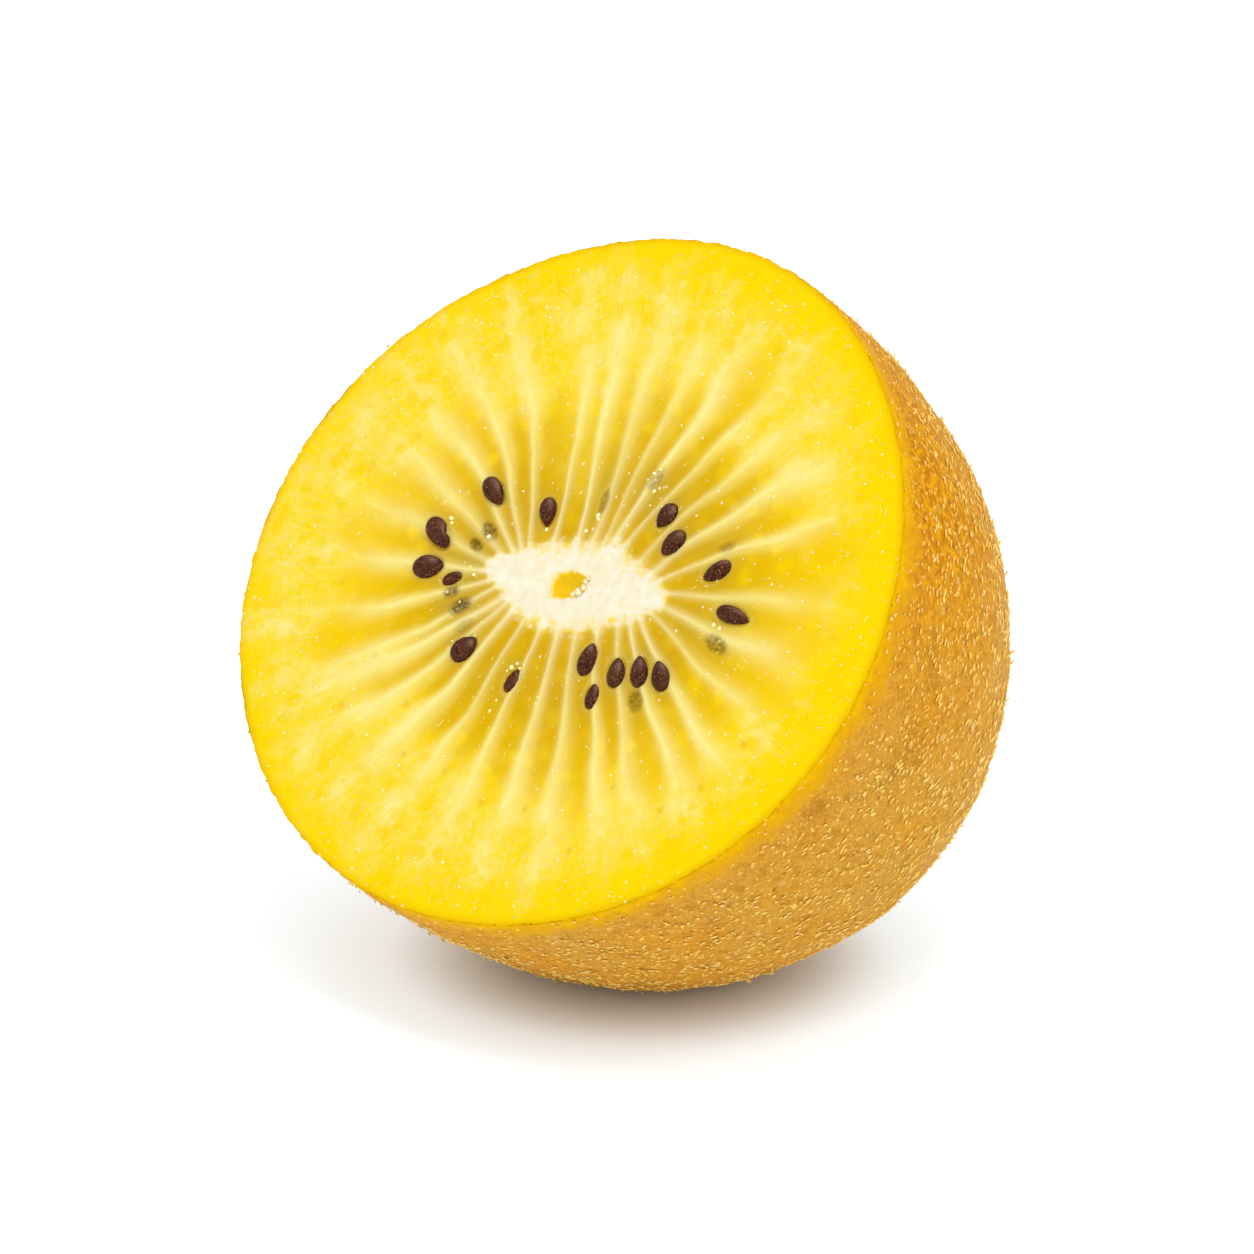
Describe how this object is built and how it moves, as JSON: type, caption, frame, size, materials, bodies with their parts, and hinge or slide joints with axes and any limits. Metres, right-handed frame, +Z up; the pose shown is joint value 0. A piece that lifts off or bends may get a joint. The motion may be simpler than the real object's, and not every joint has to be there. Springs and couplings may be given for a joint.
{
  "type": "golden kiwi fruit half",
  "caption": "Half of a golden kiwi fruit, cut across its waist, lying on its skin on a small flat spot with the yellow cut face turned up and forward.",
  "frame": {"origin": "on the flat spot that the half rests on, under the middle of its box", "axes": "+Z up from the table; -Y is the side that the cut face looks towards, tilted up; +X is to the right across the cut face, along its widest measure"},
  "size_m": [0.0546, 0.049, 0.0507],
  "materials": {
    "skin": "thin golden-brown skin with short fine hairs and small pale spots, satin",
    "flesh": "wet, slightly translucent golden-yellow flesh with paler rays",
    "core": "moist creamy-white pith",
    "seed": "small dark brown seeds with a finely pitted, moist coat",
    "hair": "very short fine golden hairs"
  },
  "bodies": {
    "root": {"kiwi_half": "skin"}
  },
  "joints": []
}
